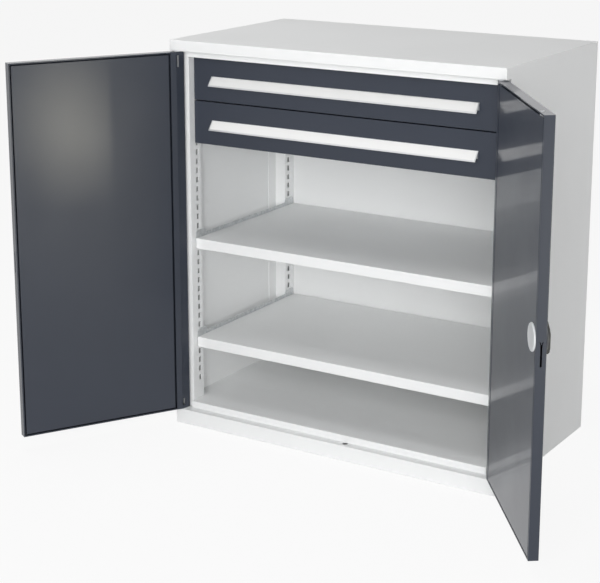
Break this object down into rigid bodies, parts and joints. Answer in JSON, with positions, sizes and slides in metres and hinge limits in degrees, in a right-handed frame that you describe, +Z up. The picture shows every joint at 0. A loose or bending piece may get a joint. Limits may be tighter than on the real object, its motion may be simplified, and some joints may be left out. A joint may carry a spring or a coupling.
{
  "type": "heavy-duty side cabinet",
  "caption": "Low steel tool cabinet with hinged double doors, telescopic drawers with grip strips, adjustable shelves and a turn lock that drives rods and a hook.",
  "frame": {"origin": "middle of the plinth's underside, on the ground", "axes": "+X to the right seen from the front, +Y from the front to the back, +Z up"},
  "size_m": [1.3812, 0.8981, 1],
  "materials": {
    "light_grey_paint": "smooth powder coat",
    "anthracite_paint": "glossy powder coat",
    "tray_paint": "satin powder coat",
    "galvanised_rail": "galvanised",
    "zinc_steel": "zinc plated",
    "lock_steel": "zinc plated",
    "grip_aluminium": "satin anodised",
    "handle_coat": "fine-grained coat on die-cast zinc",
    "rosette_plastic": "satin",
    "plug_chrome": "polished",
    "pale_plastic": "satin"
  },
  "bodies": {
    "carcass": {"base_frame": "light_grey_paint", "floor_panel": "light_grey_paint", "left_side_panel": "light_grey_paint", "right_side_panel": "light_grey_paint", "back_panel": "light_grey_paint", "top_panel": "light_grey_paint", "door_stop": "light_grey_paint", "front_left_post": "light_grey_paint", "front_right_post": "light_grey_paint", "rear_left_post": "light_grey_paint", "rear_right_post": "light_grey_paint", "pivot_bushes": "pale_plastic", "upper_shelf": "light_grey_paint", "lower_shelf": "light_grey_paint", "upper_left_shelf_rail": "galvanised_rail", "upper_right_shelf_rail": "galvanised_rail", "lower_left_shelf_rail": "galvanised_rail", "lower_right_shelf_rail": "galvanised_rail", "upper_left_cabinet_runner": "zinc_steel", "upper_right_cabinet_runner": "zinc_steel", "lower_left_cabinet_runner": "zinc_steel", "lower_right_cabinet_runner": "zinc_steel"},
    "left_door": {"left_door_skin": "anthracite_paint", "left_door_liner": "anthracite_paint", "left_pivot_pins": "lock_steel"},
    "right_door": {"right_door_skin": "anthracite_paint", "right_door_liner": "anthracite_paint", "right_pivot_pins": "lock_steel", "lock_plate": "lock_steel", "handle_rosette": "rosette_plastic", "lock_inner_cap": "pale_plastic", "rod_guides": "pale_plastic"},
    "handle": {"turn_handle": "handle_coat", "lock_hub": "lock_steel", "hook_latch": "lock_steel"},
    "lock_plug": {"lock_plug": "plug_chrome"},
    "top_rod": {"top_rod": "lock_steel"},
    "bottom_rod": {"bottom_rod": "lock_steel"},
    "upper_drawer": {"upper_drawer_front": "anthracite_paint", "upper_drawer_tray": "tray_paint", "upper_grip_strip": "grip_aluminium", "upper_left_drawer_runner": "zinc_steel", "upper_right_drawer_runner": "zinc_steel"},
    "upper_runner_middles": {"upper_left_middle_runner": "zinc_steel", "upper_right_middle_runner": "zinc_steel"},
    "lower_drawer": {"lower_drawer_front": "anthracite_paint", "lower_drawer_tray": "tray_paint", "lower_grip_strip": "grip_aluminium", "lower_left_drawer_runner": "zinc_steel", "lower_right_drawer_runner": "zinc_steel"},
    "lower_runner_middles": {"lower_left_middle_runner": "zinc_steel", "lower_right_middle_runner": "zinc_steel"}
  },
  "joints": [
    {"name": "left_door_hinge", "type": "hinge", "parent": "carcass", "child": "left_door", "pos_m": [-0.439, -0.251, 0.5], "axis": [0, 0, -1], "range_deg": [-120, 15]},
    {"name": "right_door_hinge", "type": "hinge", "parent": "carcass", "child": "right_door", "pos_m": [0.439, -0.251, 0.5], "axis": [0, 0, 1], "range_deg": [-127, 8]},
    {"name": "handle_turn", "type": "hinge", "parent": "right_door", "child": "handle", "pos_m": [0.68424, -0.57644, 0.515], "axis": [0.7986, 0.6018, 0], "range_deg": [-90, 0]},
    {"name": "key_turn", "type": "hinge", "parent": "handle", "child": "lock_plug", "pos_m": [0.68424, -0.57644, 0.515], "axis": [0.7986, 0.6018, 0], "range_deg": [0, 90]},
    {"name": "top_rod_slide", "type": "slide", "parent": "right_door", "child": "top_rod", "axis": [0, 0, 1], "range_m": [0, 0.02]},
    {"name": "bottom_rod_slide", "type": "slide", "parent": "right_door", "child": "bottom_rod", "axis": [0, 0, -1], "range_m": [0, 0.02]},
    {"name": "upper_drawer_slide", "type": "slide", "parent": "carcass", "child": "upper_drawer", "axis": [0, -1, 0], "range_m": [0, 0.4]},
    {"name": "upper_runner_slide", "type": "slide", "parent": "carcass", "child": "upper_runner_middles", "axis": [0, -1, 0], "range_m": [0, 0.2]},
    {"name": "lower_drawer_slide", "type": "slide", "parent": "carcass", "child": "lower_drawer", "axis": [0, -1, 0], "range_m": [0, 0.4]},
    {"name": "lower_runner_slide", "type": "slide", "parent": "carcass", "child": "lower_runner_middles", "axis": [0, -1, 0], "range_m": [0, 0.2]}
  ],
  "couplings": [
    {"joint": "top_rod_slide", "follows": "handle_turn", "m_per_rad": -0.012604},
    {"joint": "bottom_rod_slide", "follows": "handle_turn", "m_per_rad": -0.012604},
    {"joint": "upper_runner_slide", "follows": "upper_drawer_slide", "ratio": 0.5},
    {"joint": "lower_runner_slide", "follows": "lower_drawer_slide", "ratio": 0.5}
  ]
}
